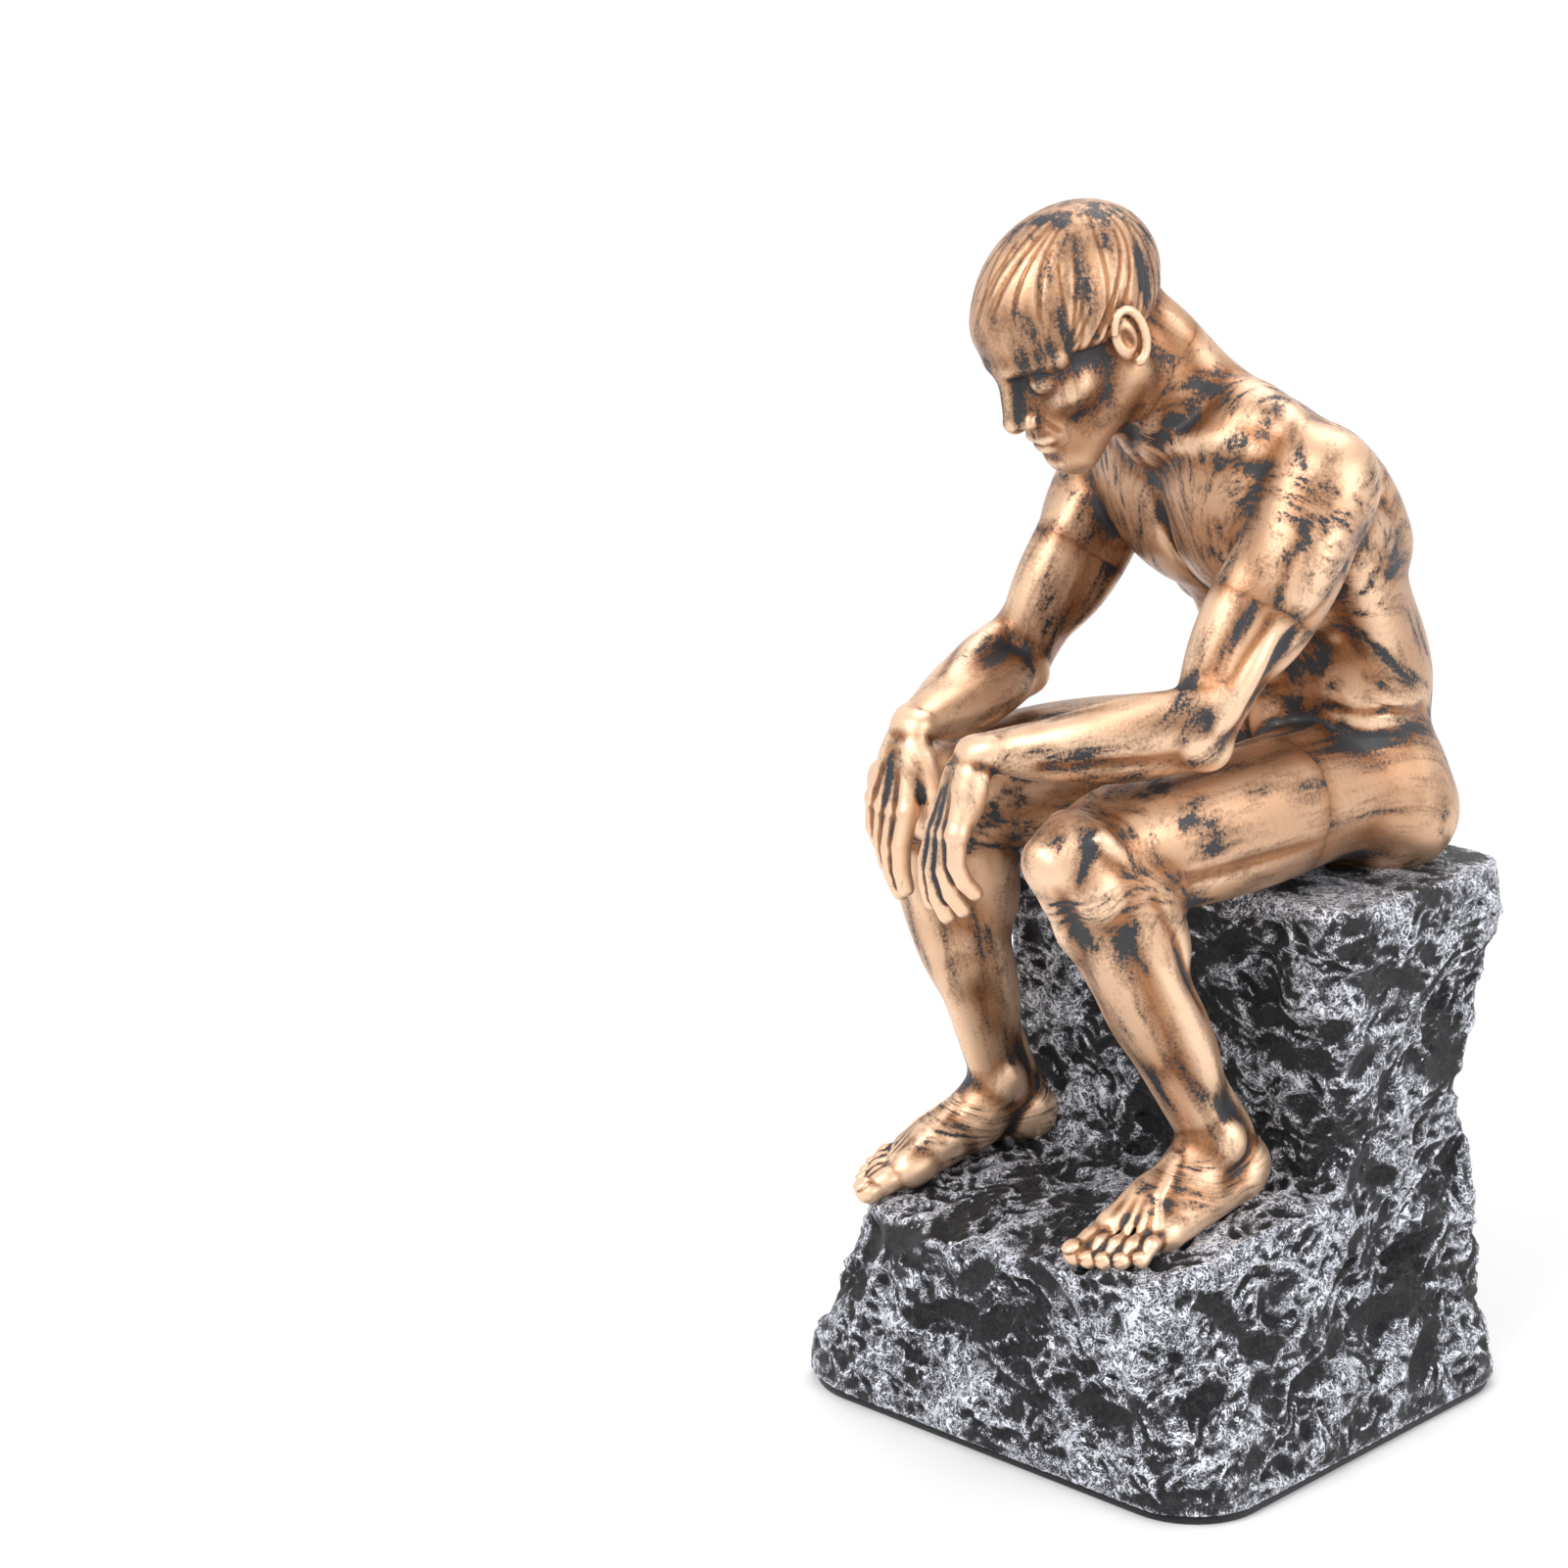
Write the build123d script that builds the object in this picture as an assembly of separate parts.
from build123d import *
import math
import os

# Seated figure on a rock, a cast resin desk statuette. Millimetres, +Z up, the figure faces -Y.
# The origin is the centre of the face that it stands on.
# Side +1 is the figure's left, side -1 its right.

# Rock: a hollow casting with a flared foot, a ledge for the feet and a seat block behind it
SEAT_HEIGHT = 112.0
ROCK_WIDTH = 112.0
ROCK_DEPTH = 110.0
ROCK_TURN = 18.0
ROCK_CORNER = 16.0
FLARE_HEIGHT = 36.0
FLARE_INSET = 15.0
LEDGE_WIDTH = 105.0
LEDGE_TAPER = 14.0
LEDGE_FRONT = 2.0
LEDGE_CORNER = 10.0
LEDGE_PITCH = 12.0
LEDGE_SPARE = 15.0
BLOCK_WIDTH = 97.0
BLOCK_DEPTH = 60.0
BLOCK_WAIST = 10.0
BLOCK_LIP = 10.0
BLOCK_BACK = -1.0
BLOCK_CORNER = 8.0
CHIP_SIZE = 13.0

# Flat breaks down the ledge: heading, share of the rock's width from its axis, slope inwards
LEDGE_BREAKS = [(-24.0, 0.64, 20.0), (-119.0, 0.65, 19.0), (-92.0, 0.56, 13.0), (-2.0, 0.53, 13.0)]

# Shallow scoops broken out of the sides of the rock, spread by the golden angle
SCOOP_COUNT = 62
SCOOP_TURN = 137.5
SCOOP_RADII = (16.0, 22.0, 27.0)
SCOOP_DEPTHS = (3.0, 2.2, 2.7, 1.8)
SCOOP_LOW = 17.0
SCOOP_HIGH = 96.0
FOOT_SPARE = 15.0
FOOT_SIDE_LIMIT = 0.3

ROCK_WALL = 6.0
ROCK_ROOF = 15.0
LEDGE_ROOF = 16.0

# Felt glued over the open underside of the rock, on its rim
FELT_THICKNESS = 2.0
FELT_INSET = 0.8
RIM_WIDTH = 10.0

# Skeleton of the figure, a sixth of life size
PELVIS_Y = 36.0
HIP_HEIGHT = 17.8
HIP_SPACING = 32.0
THIGH_LENGTH = 79.0
THIGH_SPREAD = 10.0
THIGH_DROOP = {1: 2.5, -1: 1.5}
SHIN_LENGTH = 72.0
SHIN_LEAN = {1: 29.0, -1: 17.0}
ANKLE_HEIGHT = 13.0
FOOT_LENGTH = 44.0
FOOT_WIDTH = 16.0
FOOT_SPLAY = 7.0
HEEL_REACH = 10.0
SHOULDER_HEIGHT = 84.0
SHOULDER_FORWARD = 24.0
SHOULDER_SPACING = 66.0
UPPER_ARM_LENGTH = 55.5
UPPER_ARM_SWING = 31.0
UPPER_ARM_SPREAD = 0.0
FOREARM_LENGTH = 43.0
FOREARM_TURN = 30.0
FOREARM_DROOP = 5.0
HAND_LENGTH = 32.0
HAND_WIDTH = 13.5
HAND_THICKNESS = 6.0
HAND_DROOP = 74.0
HAND_TURN = 10.0
NECK_HEIGHT = 95.5
NECK_FORWARD = 38.0
NECK_RADIUS = 10.0
NECK_ROOT = 0.2
HEAD_HEIGHT = 46.5
HEAD_WIDTH = 31.0
HEAD_DEPTH = 39.5
HEAD_RISE = 111.0
HEAD_FORWARD = 61.0
HEAD_BOW = 36.0

# Torso sections from the seat up: forward, height, lean, half width, half depth
TORSO_SECTIONS = [
    (-3.0, -3.0, 0.0, 26.0, 18.0),
    (-3.0, 13.0, 0.0, 30.0, 20.5),
    (-5.0, 29.0, 4.0, 27.0, 17.5),
    (-2.0, 43.0, 14.0, 26.0, 16.5),
    (5.0, 57.0, 24.0, 29.5, 19.0),
    (13.0, 71.0, 32.0, 33.0, 20.5),
    (22.5, 83.0, 41.0, 31.5, 17.5),
    (31.5, 91.0, 50.0, 21.0, 13.0),
    (NECK_FORWARD, NECK_HEIGHT, 55.0, 12.5, 11.0),
]

# Limb sections from one joint to the next: share of the length, half width, half depth
THIGH_SECTIONS = [
    (-0.1, 15.0, 15.5),
    (0.2, 17.0, 17.3),
    (0.5, 15.6, 16.4),
    (0.8, 12.2, 13.0),
    (1.0, 10.4, 10.8),
]
SHIN_SECTIONS = [
    (-0.05, 9.6, 10.0),
    (0.12, 9.8, 10.6),
    (0.3, 11.0, 11.8),
    (0.6, 8.2, 9.0),
    (0.88, 5.8, 6.4),
    (1.0, 6.0, 7.0),
]
UPPER_ARM_SECTIONS = [
    (-0.05, 9.2, 9.8),
    (0.25, 9.6, 10.4),
    (0.55, 8.6, 9.6),
    (0.85, 7.2, 7.6),
    (1.0, 6.8, 7.2),
]
FOREARM_SECTIONS = [
    (-0.08, 6.6, 6.4),
    (0.2, 8.0, 7.4),
    (0.5, 7.0, 6.6),
    (0.85, 5.2, 4.6),
    (1.0, 5.0, 4.4),
]
NECK_SECTIONS = [
    (0.0, 1.35 * NECK_RADIUS, 1.25 * NECK_RADIUS),
    (0.5, NECK_RADIUS, NECK_RADIUS),
    (1.0, NECK_RADIUS, NECK_RADIUS),
]
NOSE_SECTIONS = [(0.0, 1.5, 1.6), (0.7, 2.2, 2.2), (1.0, 2.7, 2.0)]

# Palm sections: share of the palm, half width as a share of the hand, half thickness as a share
PALM_SECTIONS = [(-0.2, 0.33, 0.7), (0.3, 0.42, 0.55), (0.75, 0.5, 0.5), (1.05, 0.46, 0.38)]
FINGER_SHARES = (0.46, 0.5, 0.47, 0.38)

# Foot sections behind and ahead of the ankle: share of heel or reach, half width, height
HEEL_SECTIONS = [(1.0, 0.35, 0.5), (0.7, 0.62, 0.95), (0.0, 0.7, 1.2)]
INSTEP_SECTIONS = [(0.35, 0.78, 0.95), (0.65, 0.95, 0.62), (0.85, 0.85, 0.42)]

# Muscles and joints that stand out of the limbs and the trunk
KNEE_RADIUS = 10.6
ELBOW_RADIUS = 7.0
CALF_PLACE = 0.3
CALF_BULGE = 3.4
CALF_HALF_SIZES = (9.4, 9.2, 18.5)
BUTTOCK_RADIUS = 14.5
BUTTOCK_PLACE = (1.0, 8.0, -2.0)
DELTOID_HALF_SIZES = (11.0, 12.0, 13.0)
TRAPEZIUS_PLACE = (13.0, 3.0, 1.0)
TRAPEZIUS_HALF_SIZES = (17.0, 10.0, 9.5)
TRAPEZIUS_ROLL = 18.0
BLADE_PLACE = (9.0, 9.0, -7.0)
BLADE_HALF_SIZES = (14.0, 10.0, 17.0)
BLADE_LEAN = 24.0
SLOPE_START = (0.0, 6.0, -4.0)
SLOPE_END = (0.0, 2.0, 2.0)
SLOPE_SECTIONS = [(0.0, 10.0, 9.5), (0.5, 10.5, 8.5), (1.0, 9.5, 9.0)]
FLANK_SECTIONS = [(0.0, 7.0, 10.0), (0.55, 8.0, 12.0), (1.0, 8.5, 9.0)]
FLANK_FOOT = (18.0, 7.0, 36.0)
FLANK_TOP = (3.0, 7.0, -8.0)
FURROW_RADIUS = 8.0
FURROW_DEPTH = 2.2
BREAST_SPACING = 27.0
BREAST_FORWARD = 27.0
BREAST_HEIGHT = 74.0
BREAST_HALF_SIZES = (14.0, 7.5, 11.0)
BREAST_TURN = 14.0
HAIR_LINE_TILT = 24.0
EAR_HALF_SIZES = (2.2, 3.4, 5.2)
EAR_TILT = 14.0
EYE_HALF_SIZES = (2.9, 2.4, 1.9)

# Where the castings are split, as a share of the limb, and the steel pins that join them
HIP_SEAM = 0.3
ARM_SEAM = 0.5
NECK_SEAM = 0.35
HIP_PIN_DIAMETER = 5.0
HIP_PIN_LENGTH = 24.0
ARM_PIN_DIAMETER = 3.0
ARM_PIN_LENGTH = 16.0
NECK_PIN_DIAMETER = 4.0
NECK_PIN_LENGTH = 16.0
SEAT_DOWEL_DIAMETER = 5.0
SEAT_DOWEL_LENGTH = 22.0
SEAT_DOWEL_SPACING = 26.0
FOOT_PIN_DIAMETER = 3.0
FOOT_PIN_LENGTH = 20.0
GLUE_GAP = 0.1

FAR = 400.0
SIDES = {1: "left", -1: "right"}


def forward(turn, rise):
    """Unit vector straight ahead, turned to the figure's left and raised, in degrees."""
    flat = math.cos(math.radians(rise))
    ahead = math.radians(turn)
    return Vector(math.sin(ahead) * flat, -math.cos(ahead) * flat, math.sin(math.radians(rise)))


# Joints of the skeleton
def hip(side):
    return Vector(side * HIP_SPACING / 2, PELVIS_Y, SEAT_HEIGHT + HIP_HEIGHT)


def knee(side):
    return hip(side) + forward(side * THIGH_SPREAD, -THIGH_DROOP[side]) * THIGH_LENGTH


def ankle(side):
    lean = math.radians(SHIN_LEAN[side])
    return knee(side) + Vector(0, math.sin(lean), -math.cos(lean)) * SHIN_LENGTH


def sole_plane(side):
    """The tilted face that a foot stands on, with its X axis across the foot."""
    pitch = math.radians(LEDGE_PITCH)
    normal = Vector(0, -math.sin(pitch), math.cos(pitch))
    return Plane(origin=ankle(side) - normal * ANKLE_HEIGHT, x_dir=(1, 0, 0), z_dir=normal)


def shoulder(side):
    height = SEAT_HEIGHT + SHOULDER_HEIGHT
    return Vector(side * SHOULDER_SPACING / 2, PELVIS_Y - SHOULDER_FORWARD, height)


def elbow(side):
    return shoulder(side) + forward(side * UPPER_ARM_SPREAD, UPPER_ARM_SWING - 90) * UPPER_ARM_LENGTH


def wrist(side):
    return elbow(side) + forward(-side * FOREARM_TURN, -FOREARM_DROOP) * FOREARM_LENGTH


def neck_base():
    return Vector(0, PELVIS_Y - NECK_FORWARD, SEAT_HEIGHT + NECK_HEIGHT)


def head_frame():
    """Placement at the middle of the head, bowed, with -Y out of the face."""
    return Location((0, PELVIS_Y - HEAD_FORWARD, SEAT_HEIGHT + HEAD_RISE), (HEAD_BOW, 0, 0))


# Shape helpers
def tapered(start, end, sections, across=Vector(1, 0, 0)):
    """A limb lofted through ellipses between two joints."""
    axis = end - start
    rings = []
    for share, half_width, half_depth in sections:
        plane = Plane(origin=start + axis * share, x_dir=across, z_dir=axis)
        rings.append(plane * Ellipse(half_width, half_depth))
    return loft(rings)


def ball(centre, half_width, half_depth, half_height, turned=(0, 0, 0)):
    """An ellipsoid at a point, turned about X, Y and Z."""
    return Location(tuple(centre), turned) * scale(Sphere(1), by=(half_width, half_depth, half_height))


def pin(middle, axis, diameter, length):
    """A straight rod centred on a point."""
    return Plane(origin=middle, z_dir=axis) * Cylinder(diameter / 2, length)


def pin_hole(middle, axis, diameter, length):
    """The hole that a rod is glued into, a glue gap larger all round."""
    return pin(middle, axis, diameter + 2 * GLUE_GAP, length + 2 * GLUE_GAP)


def beyond(point, axis):
    """Everything on the far side of a seam."""
    return Plane(origin=point, z_dir=axis) * Pos(0, 0, FAR / 2) * Box(FAR, FAR, FAR)


# Rock
def outline(width, depth, corner, height, back=0.0):
    """A rounded rectangle turned with the rock, at a height, moved towards the back."""
    turned = Location((0, 0, height), (0, 0, ROCK_TURN)) * Pos(0, back, 0)
    return turned * RectangleRounded(width, depth, corner)


def rock_flare():
    """The foot of the rock, steep at its edge and then drawn in towards the block."""
    rings = []
    for share, inset in ((0.0, 0.0), (0.25, 0.08), (0.55, 0.35), (1.0, 1.0)):
        size = 2 * inset * FLARE_INSET
        height = FELT_THICKNESS + share * FLARE_HEIGHT
        rings.append(outline(ROCK_WIDTH - size, ROCK_DEPTH - size, ROCK_CORNER, height))
    return loft(rings)


def block_middle():
    """How far the middle of the seat block lies behind the middle of the rock."""
    return (ROCK_DEPTH - BLOCK_DEPTH) / 2 - BLOCK_BACK


def rock_block(inset, top):
    """The seat block: wide foot, drawn-in waist and a lip round the seat."""
    rise = top - FELT_THICKNESS
    lip = BLOCK_WAIST - BLOCK_LIP
    rings = []
    for share, narrower in ((0.0, 0.0), (0.3, 0.4 * BLOCK_WAIST), (0.55, BLOCK_WAIST),
                            (0.78, lip + 0.5 * BLOCK_LIP), (0.93, lip), (1.0, lip + 0.3 * BLOCK_LIP)):
        size = 2 * inset + narrower
        height = FELT_THICKNESS + rise * share
        width = BLOCK_WIDTH - size
        depth = BLOCK_DEPTH - size
        rings.append(outline(width, depth, BLOCK_CORNER, height, block_middle()))
    return loft(rings)


def rock_ledge():
    """The ledge in front of the block, stepped under each foot along its sole."""
    low_front = ROCK_DEPTH / 2 - LEDGE_FRONT
    high_front = low_front - LEDGE_TAPER / 2
    back = block_middle() - BLOCK_DEPTH / 4
    low = FELT_THICKNESS + FLARE_HEIGHT / 4
    high = max(sole_plane(side).origin.Z for side in SIDES) + LEDGE_SPARE
    low_middle = (back - low_front) / 2
    high_middle = (back - high_front) / 2
    high_width = LEDGE_WIDTH - LEDGE_TAPER
    ledge = loft([
        outline(LEDGE_WIDTH, low_front + back, LEDGE_CORNER, low, low_middle),
        outline(high_width, high_front + back, LEDGE_CORNER, high, high_middle),
    ])
    for side in SIDES:
        sole = sole_plane(side)
        middle = Plane(origin=(0, sole.origin.Y, sole.origin.Z), x_dir=(1, 0, 0), z_dir=sole.z_dir)
        ledge -= middle * Pos(side * FAR / 2, 0, FAR / 2) * Box(FAR, FAR, FAR)
    for heading, share, slope in LEDGE_BREAKS:
        outwards = Vector(math.cos(math.radians(heading)), math.sin(math.radians(heading)), 0)
        slanted = outwards + Vector(0, 0, math.tan(math.radians(slope)))
        ledge -= beyond(outwards * (share * ROCK_WIDTH), slanted)
    return ledge


def rock_chip(across, along, size):
    """A flat chip off one corner of the seat, as a turned box to take away."""
    corner = Pos(across * BLOCK_WIDTH / 2, block_middle() + along * BLOCK_DEPTH / 2, SEAT_HEIGHT)
    slanted = Rot(0, 0, -45 * across * along) * Rot(45, 0, 0)
    return Rot(0, 0, ROCK_TURN) * corner * slanted * Box(4 * size, size, size)


def rock_scoops(rock):
    """Shallow round hollows in the sides, clear of the seat, the rim and the faces under the feet."""
    feet = [sole_plane(side).origin.Z for side in SIDES]
    block = Rot(0, 0, ROCK_TURN) * Pos(0, block_middle(), 0)
    scoops = []
    for number in range(SCOOP_COUNT):
        heading = math.radians(number * SCOOP_TURN)
        outwards = Vector(math.cos(heading), math.sin(heading), 0)
        height = SCOOP_LOW + (SCOOP_HIGH - SCOOP_LOW) * (number + 0.5) / SCOOP_COUNT
        radius = SCOOP_RADII[number % len(SCOOP_RADII)]
        depth = SCOOP_DEPTHS[number % len(SCOOP_DEPTHS)]
        if outwards.Y < FOOT_SIDE_LIMIT and min(feet) - FOOT_SPARE < height < max(feet) + radius + depth:
            continue
        middle = block.position if height > max(feet) else Vector(0, 0, 0)
        start = Vector(middle.X, middle.Y, height)
        hits = rock.find_intersection_points(Axis(start, outwards))
        place, normal = max(hits, key=lambda hit: (hit[0] - start).dot(outwards))
        scoops.append(Pos(*(place + normal * (radius - depth))) * Sphere(radius))
    return scoops


def rock_solid():
    """The rock as it looks from outside, before it is hollowed."""
    chips = [rock_chip(1, 1, CHIP_SIZE), rock_chip(-1, 1, 1.3 * CHIP_SIZE), rock_chip(-1, -1, CHIP_SIZE)]
    block = rock_block(0, SEAT_HEIGHT) - chips
    rock = rock_flare() + [rock_ledge(), block]
    return rock - rock_scoops(rock)


def rock_cavity():
    """The hollow inside the rock, open underneath."""
    low_inset = 2 * RIM_WIDTH
    high_inset = 2 * (ROCK_WALL + FLARE_INSET)
    under_ledge = min(sole_plane(side).origin.Z for side in SIDES) - LEDGE_ROOF
    low = loft([
        outline(ROCK_WIDTH - low_inset, ROCK_DEPTH - low_inset, LEDGE_CORNER, FELT_THICKNESS),
        outline(ROCK_WIDTH - high_inset, ROCK_DEPTH - high_inset, LEDGE_CORNER, under_ledge),
    ])
    return low + rock_block(ROCK_WALL + BLOCK_WAIST / 2, SEAT_HEIGHT - ROCK_ROOF)


def felt_pad():
    """The felt that the statuette stands on."""
    edge = 2 * FELT_INSET
    return extrude(outline(ROCK_WIDTH - edge, ROCK_DEPTH - edge, ROCK_CORNER, 0), FELT_THICKNESS)


# Pins, each as (middle, axis, diameter, length)
def hip_pin(side):
    axis = knee(side) - hip(side)
    return hip(side) + axis * HIP_SEAM, axis, HIP_PIN_DIAMETER, HIP_PIN_LENGTH


def arm_pin(side):
    axis = elbow(side) - shoulder(side)
    return shoulder(side) + axis * ARM_SEAM, axis, ARM_PIN_DIAMETER, ARM_PIN_LENGTH


def neck_axis():
    return head_frame().position - neck_base()


def neck_pin():
    return neck_base() + neck_axis() * NECK_SEAM, neck_axis(), NECK_PIN_DIAMETER, NECK_PIN_LENGTH


def seat_dowel(side):
    middle = Vector(side * SEAT_DOWEL_SPACING / 2, PELVIS_Y, SEAT_HEIGHT)
    return middle, Vector(0, 0, 1), SEAT_DOWEL_DIAMETER, SEAT_DOWEL_LENGTH


def foot_pin(side):
    sole = sole_plane(side)
    return sole.origin, sole.z_dir, FOOT_PIN_DIAMETER, FOOT_PIN_LENGTH


# Figure
def thigh(side):
    return tapered(hip(side), knee(side), THIGH_SECTIONS)


def upper_arm(side):
    return tapered(shoulder(side), elbow(side), UPPER_ARM_SECTIONS)


def foot(side):
    """A foot with a heel, an instep that slopes to the ball, and five toes, standing on its sole."""
    reach = FOOT_LENGTH - HEEL_REACH
    half = FOOT_WIDTH / 2
    place = sole_plane(side) * Rot(0, 0, side * FOOT_SPLAY)
    sections = [(share * HEEL_REACH, width, height) for share, width, height in HEEL_SECTIONS]
    sections += [(-share * reach, width, height) for share, width, height in INSTEP_SECTIONS]
    rings = []
    for along, half_width, height in sections:
        ring = Plane(origin=(0, along, 0), x_dir=(1, 0, 0), z_dir=(0, -1, 0))
        rings.append(place * (ring * Ellipse(half * half_width, ANKLE_HEIGHT * height)))
    shapes = [loft(rings)]
    for number in range(5):
        radius = 0.25 * half if number else 0.36 * half
        across = side * half * (-0.66 + 0.34 * number)
        tip = Vector(across, -0.93 * reach + 0.06 * reach * number ** 1.2, 0.75 * radius)
        root = tip + Vector(0, 0.2 * reach, 0.6 * radius)
        bone = tapered(root, tip, [(0, radius, radius), (1, 0.95 * radius, 0.95 * radius)])
        shapes += [place * bone, place * (Pos(*tip) * Sphere(radius))]
    return shapes


def finger(knuckle, middle, tip, radius, across):
    """Two tapered bones with rounded joints."""
    thin = 0.92 * radius
    end = 0.76 * radius
    return [
        tapered(knuckle, middle, [(0, radius, radius), (1, thin, thin)], across),
        Pos(*middle) * Sphere(0.95 * radius),
        tapered(middle, tip, [(0, thin, thin), (1, end, end)], across),
        Pos(*tip) * Sphere(0.78 * radius),
    ]


def hand(side):
    """A relaxed hand that hangs from the wrist, its back forward: palm, four fingers, thumb."""
    down = forward(-side * HAND_TURN, -HAND_DROOP)
    back = forward(-side * HAND_TURN, 90 - HAND_DROOP)
    inwards = down.cross(back) * side
    start = wrist(side)
    palm = 0.52 * HAND_LENGTH
    radius = 0.13 * HAND_WIDTH
    sections = [(share, wide * HAND_WIDTH, thick * HAND_THICKNESS) for share, wide, thick in PALM_SECTIONS]
    shapes = [tapered(start, start + down * palm, sections, inwards)]
    for number, share in enumerate(FINGER_SHARES):
        knuckle = start + down * (0.95 * palm) + inwards * (HAND_WIDTH * (0.36 - 0.24 * number))
        middle = knuckle + (down - back * 0.1).normalized() * (0.55 * share * HAND_LENGTH)
        tip = middle + (down - back * 0.6).normalized() * (0.45 * share * HAND_LENGTH)
        shapes += finger(knuckle, middle, tip, radius, inwards)
    root = start + down * (0.2 * palm) + inwards * (0.25 * HAND_WIDTH)
    joint = root + (down + inwards * 0.7 - back * 0.3).normalized() * (0.3 * HAND_LENGTH)
    tip = joint + (down + inwards * 0.1 - back * 0.3).normalized() * (0.24 * HAND_LENGTH)
    return shapes + finger(root, joint, tip, 1.25 * radius, back)


def leg(side, rock):
    """Thigh, knee, shin, calf and foot, from the hip seam down."""
    seam, axis, _, _ = hip_pin(side)
    shin_axis = ankle(side) - knee(side)
    calf = knee(side) + shin_axis * CALF_PLACE + Vector(0, CALF_BULGE, 0)
    shapes = [
        Pos(*knee(side)) * Sphere(KNEE_RADIUS),
        tapered(knee(side), ankle(side), SHIN_SECTIONS),
        ball(calf, *CALF_HALF_SIZES, (SHIN_LEAN[side], 0, 0)),
        *foot(side),
    ]
    shape = (thigh(side) & beyond(seam, axis)) + shapes
    return shape - [rock, pin_hole(*hip_pin(side)), pin_hole(*foot_pin(side))]


def arm(side, leg_shape):
    """Lower half of the upper arm, elbow, forearm and hand, seated on the thigh."""
    seam, axis, _, _ = arm_pin(side)
    shapes = [
        Pos(*elbow(side)) * Sphere(ELBOW_RADIUS),
        tapered(elbow(side), wrist(side), FOREARM_SECTIONS),
        *hand(side),
    ]
    shape = (upper_arm(side) & beyond(seam, axis)) + shapes
    return shape - [leg_shape, pin_hole(*arm_pin(side))]


def trunk():
    """The body from the seat to the neck, lofted through leaning ellipses."""
    rings = []
    for ahead, height, lean, half_width, half_depth in TORSO_SECTIONS:
        normal = Vector(0, -math.sin(math.radians(lean)), math.cos(math.radians(lean)))
        plane = Plane(origin=(0, PELVIS_Y - ahead, SEAT_HEIGHT + height), x_dir=(1, 0, 0), z_dir=normal)
        rings.append(plane * Ellipse(half_width, half_depth))
    return loft(rings)


def furrow():
    """The groove down the spine, swept along the back of the trunk's sections and fading at its ends."""
    places = []
    depths = [0.0, *[FURROW_DEPTH] * 4, 0.0]
    for depth, (ahead, height, lean, _, half_depth) in zip(depths, TORSO_SECTIONS[1:]):
        backwards = Vector(0, math.cos(math.radians(lean)), math.sin(math.radians(lean)))
        middle = Vector(0, PELVIS_Y - ahead, SEAT_HEIGHT + height)
        places.append(middle + backwards * (half_depth + FURROW_RADIUS - depth))
    path = Spline(*places)
    return sweep(Plane(origin=path @ 0, z_dir=path % 0) * Circle(FURROW_RADIUS), path)


def torso(rock, castings):
    """Trunk with the roots of the thighs, arms and neck, and its large muscles."""
    shapes = [neck() - beyond(*neck_pin()[:2])]
    holes = [pin_hole(*neck_pin())]
    for side in SIDES:
        buttock = hip(side) + Vector(side * BUTTOCK_PLACE[0], *BUTTOCK_PLACE[1:])
        breast_height = SEAT_HEIGHT + BREAST_HEIGHT
        breast = Vector(side * BREAST_SPACING / 2, PELVIS_Y - BREAST_FORWARD, breast_height)
        trapezius = shoulder(side) + Vector(-side * TRAPEZIUS_PLACE[0], *TRAPEZIUS_PLACE[1:])
        blade = shoulder(side) + Vector(-side * BLADE_PLACE[0], *BLADE_PLACE[1:])
        flank = Vector(side * FLANK_FOOT[0], PELVIS_Y + FLANK_FOOT[1], SEAT_HEIGHT + FLANK_FOOT[2])
        flank_top = shoulder(side) + Vector(-side * FLANK_TOP[0], *FLANK_TOP[1:])
        slope_start = neck_base() + Vector(*SLOPE_START)
        slope_end = shoulder(side) + Vector(*SLOPE_END)
        shapes += [
            thigh(side) - beyond(*hip_pin(side)[:2]),
            upper_arm(side) - beyond(*arm_pin(side)[:2]),
            ball(shoulder(side), *DELTOID_HALF_SIZES),
            ball(trapezius, *TRAPEZIUS_HALF_SIZES, (BLADE_LEAN, side * TRAPEZIUS_ROLL, 0)),
            ball(blade, *BLADE_HALF_SIZES, (BLADE_LEAN, 0, 0)),
            tapered(slope_start, slope_end, SLOPE_SECTIONS, Vector(0, 1, 0)),
            tapered(flank, flank_top, FLANK_SECTIONS),
            Pos(*buttock) * Sphere(BUTTOCK_RADIUS),
            ball(breast, *BREAST_HALF_SIZES, (TORSO_SECTIONS[5][2], 0, side * BREAST_TURN)),
        ]
        holes += [pin_hole(*hip_pin(side)), pin_hole(*arm_pin(side)), pin_hole(*seat_dowel(side))]
    return trunk() + shapes - [furrow(), rock, *castings, *holes]


def neck():
    """The column from the shoulders into the head."""
    return tapered(neck_base() - neck_axis() * NECK_ROOT, head_frame().position, NECK_SECTIONS)


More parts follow.
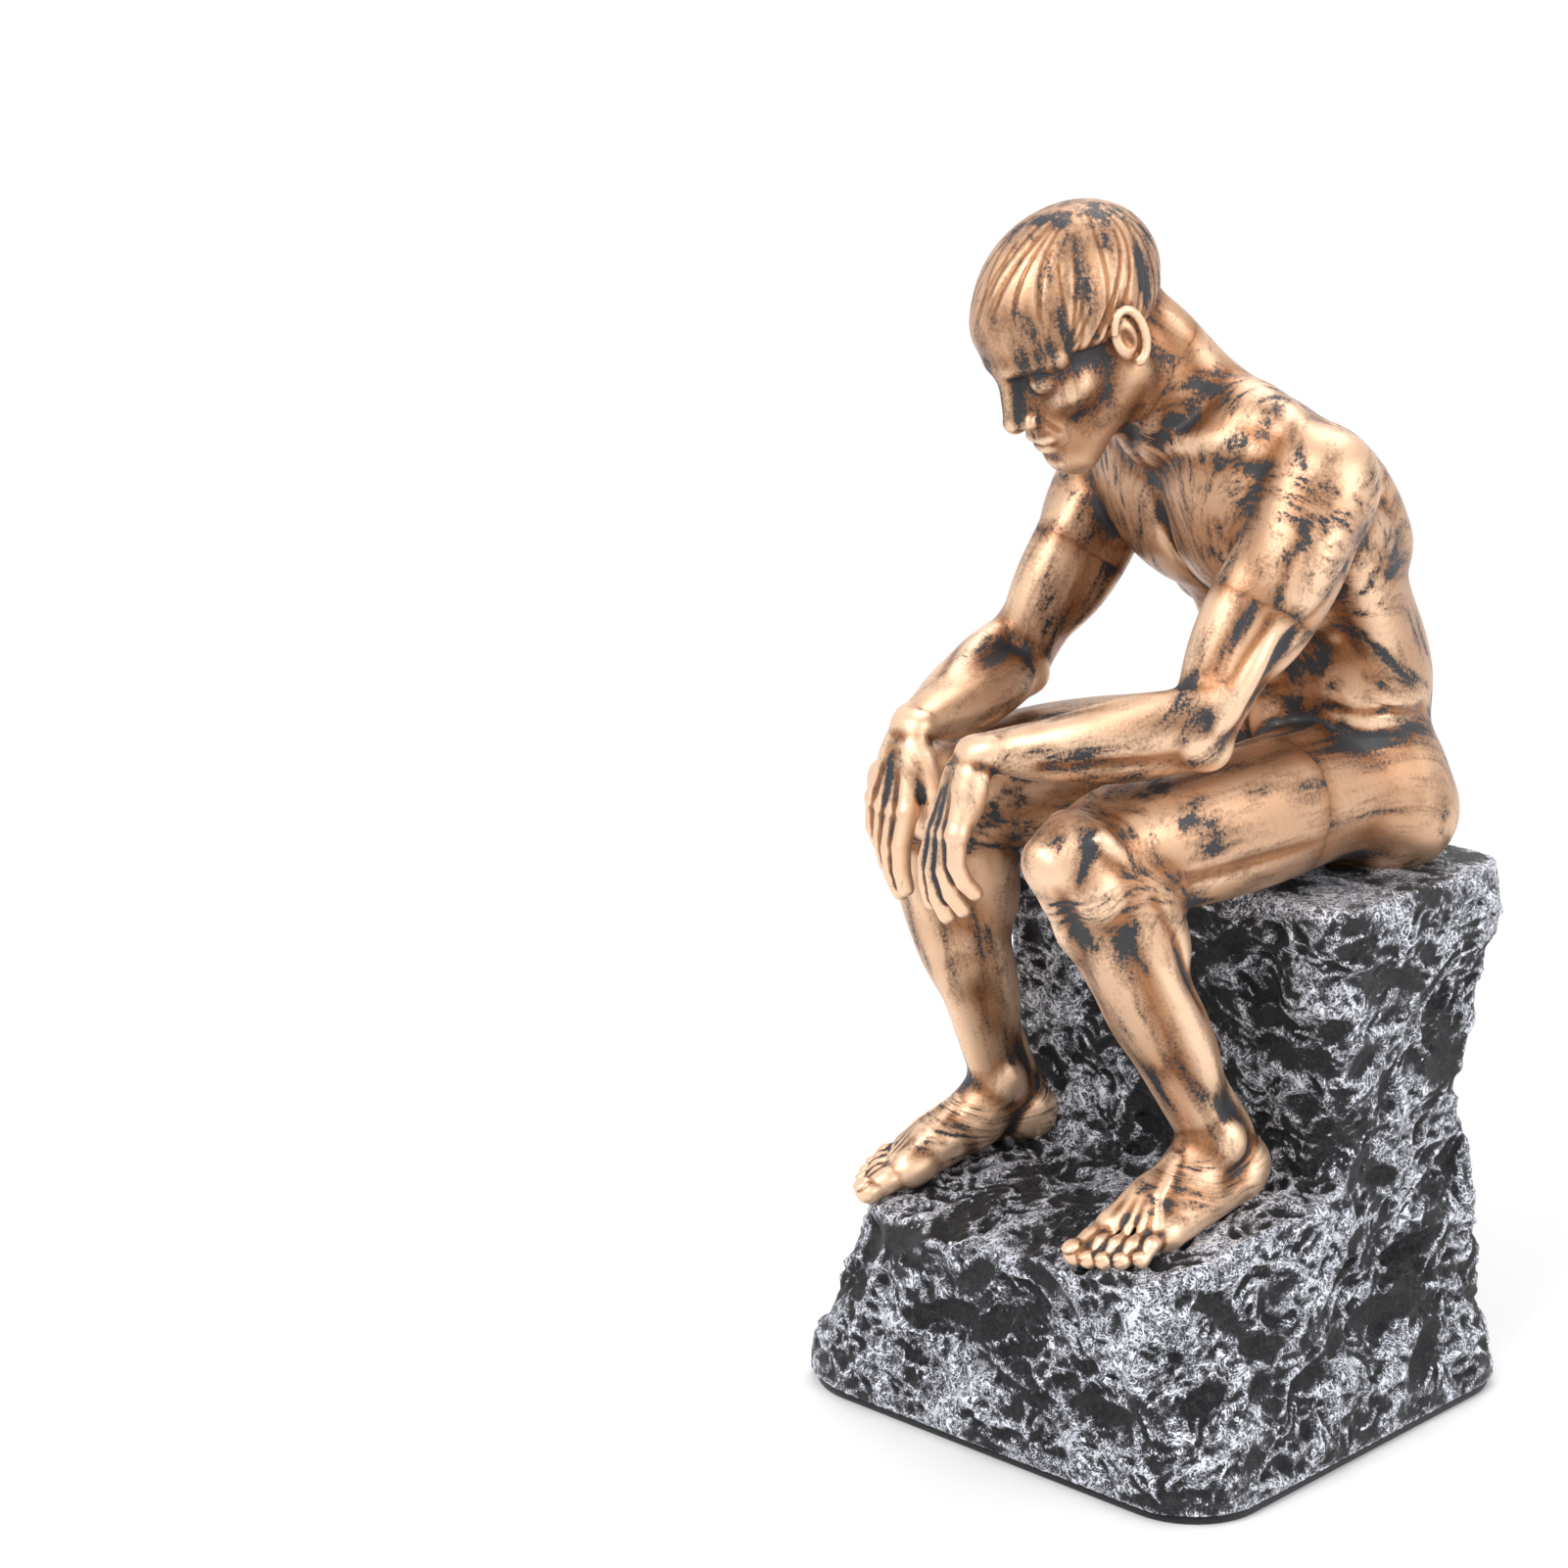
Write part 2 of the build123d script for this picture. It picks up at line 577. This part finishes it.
def head():
    """Skull, jaw, nose, ears and a cap of short hair, bowed forward."""
    half_width = HEAD_WIDTH / 2
    half_depth = HEAD_DEPTH / 2
    half_height = HEAD_HEIGHT / 2
    crown = (0, 0.1 * half_depth, 0.3 * half_height)
    skull = ball(crown, 0.94 * half_width, 0.92 * half_depth, 0.68 * half_height)
    chin = (0, -0.36 * half_depth, -0.4 * half_height)
    jaw = ball(chin, 0.74 * half_width, 0.56 * half_depth, 0.6 * half_height)
    hair = ball(crown, half_width, 0.98 * half_depth, 0.73 * half_height)
    hair_line = Location((0, 0, 0.15 * half_height), (-HAIR_LINE_TILT, 0, 0))
    hair -= hair_line * Pos(0, 0, -FAR / 2) * Box(FAR, FAR, FAR)
    bridge = Vector(0, -0.78 * half_depth, 0.1 * half_height)
    nose_tip = Vector(0, -0.97 * half_depth, -0.26 * half_height)
    nose = tapered(bridge, nose_tip, NOSE_SECTIONS)
    ears = []
    eyes = []
    for side in SIDES:
        ear = (side * 0.9 * half_width, 0.1 * half_depth, -0.08 * half_height)
        ears.append(ball(ear, *EAR_HALF_SIZES, (-EAR_TILT, 0, -side * EAR_TILT)))
        eye = (side * 0.37 * half_width, -0.9 * half_depth, 0.02 * half_height)
        eyes.append(ball(eye, *EYE_HALF_SIZES))
    shape = head_frame() * (skull + [jaw, hair, nose, *ears] - eyes)
    return shape + (neck() & beyond(*neck_pin()[:2])) - pin_hole(*neck_pin())


def build():
    """Every piece of the statuette by name."""
    rock = rock_solid()
    pieces = {}
    legs = {side: leg(side, rock) for side in SIDES}
    arms = {side: arm(side, legs[side]) for side in SIDES}
    pieces["head"] = head()
    pieces["torso"] = torso(rock, [*legs.values(), *arms.values(), pieces["head"]])
    shell = rock - rock_cavity()
    for side, name in SIDES.items():
        pieces[name + "_leg"] = legs[side]
        pieces[name + "_arm"] = arms[side]
        pieces[name + "_hip_pin"] = pin(*hip_pin(side))
        pieces[name + "_arm_pin"] = pin(*arm_pin(side))
        pieces[name + "_seat_dowel"] = pin(*seat_dowel(side))
        pieces[name + "_foot_pin"] = pin(*foot_pin(side))
        shell -= pin_hole(*seat_dowel(side))
        shell -= pin_hole(*foot_pin(side))
    pieces["neck_pin"] = pin(*neck_pin())
    pieces["rock_base"] = shell
    pieces["felt_pad"] = felt_pad()
    return pieces


os.makedirs("parts", exist_ok=True)
for name, shape in build().items():
    export_step(shape, f"parts/{name}.step")
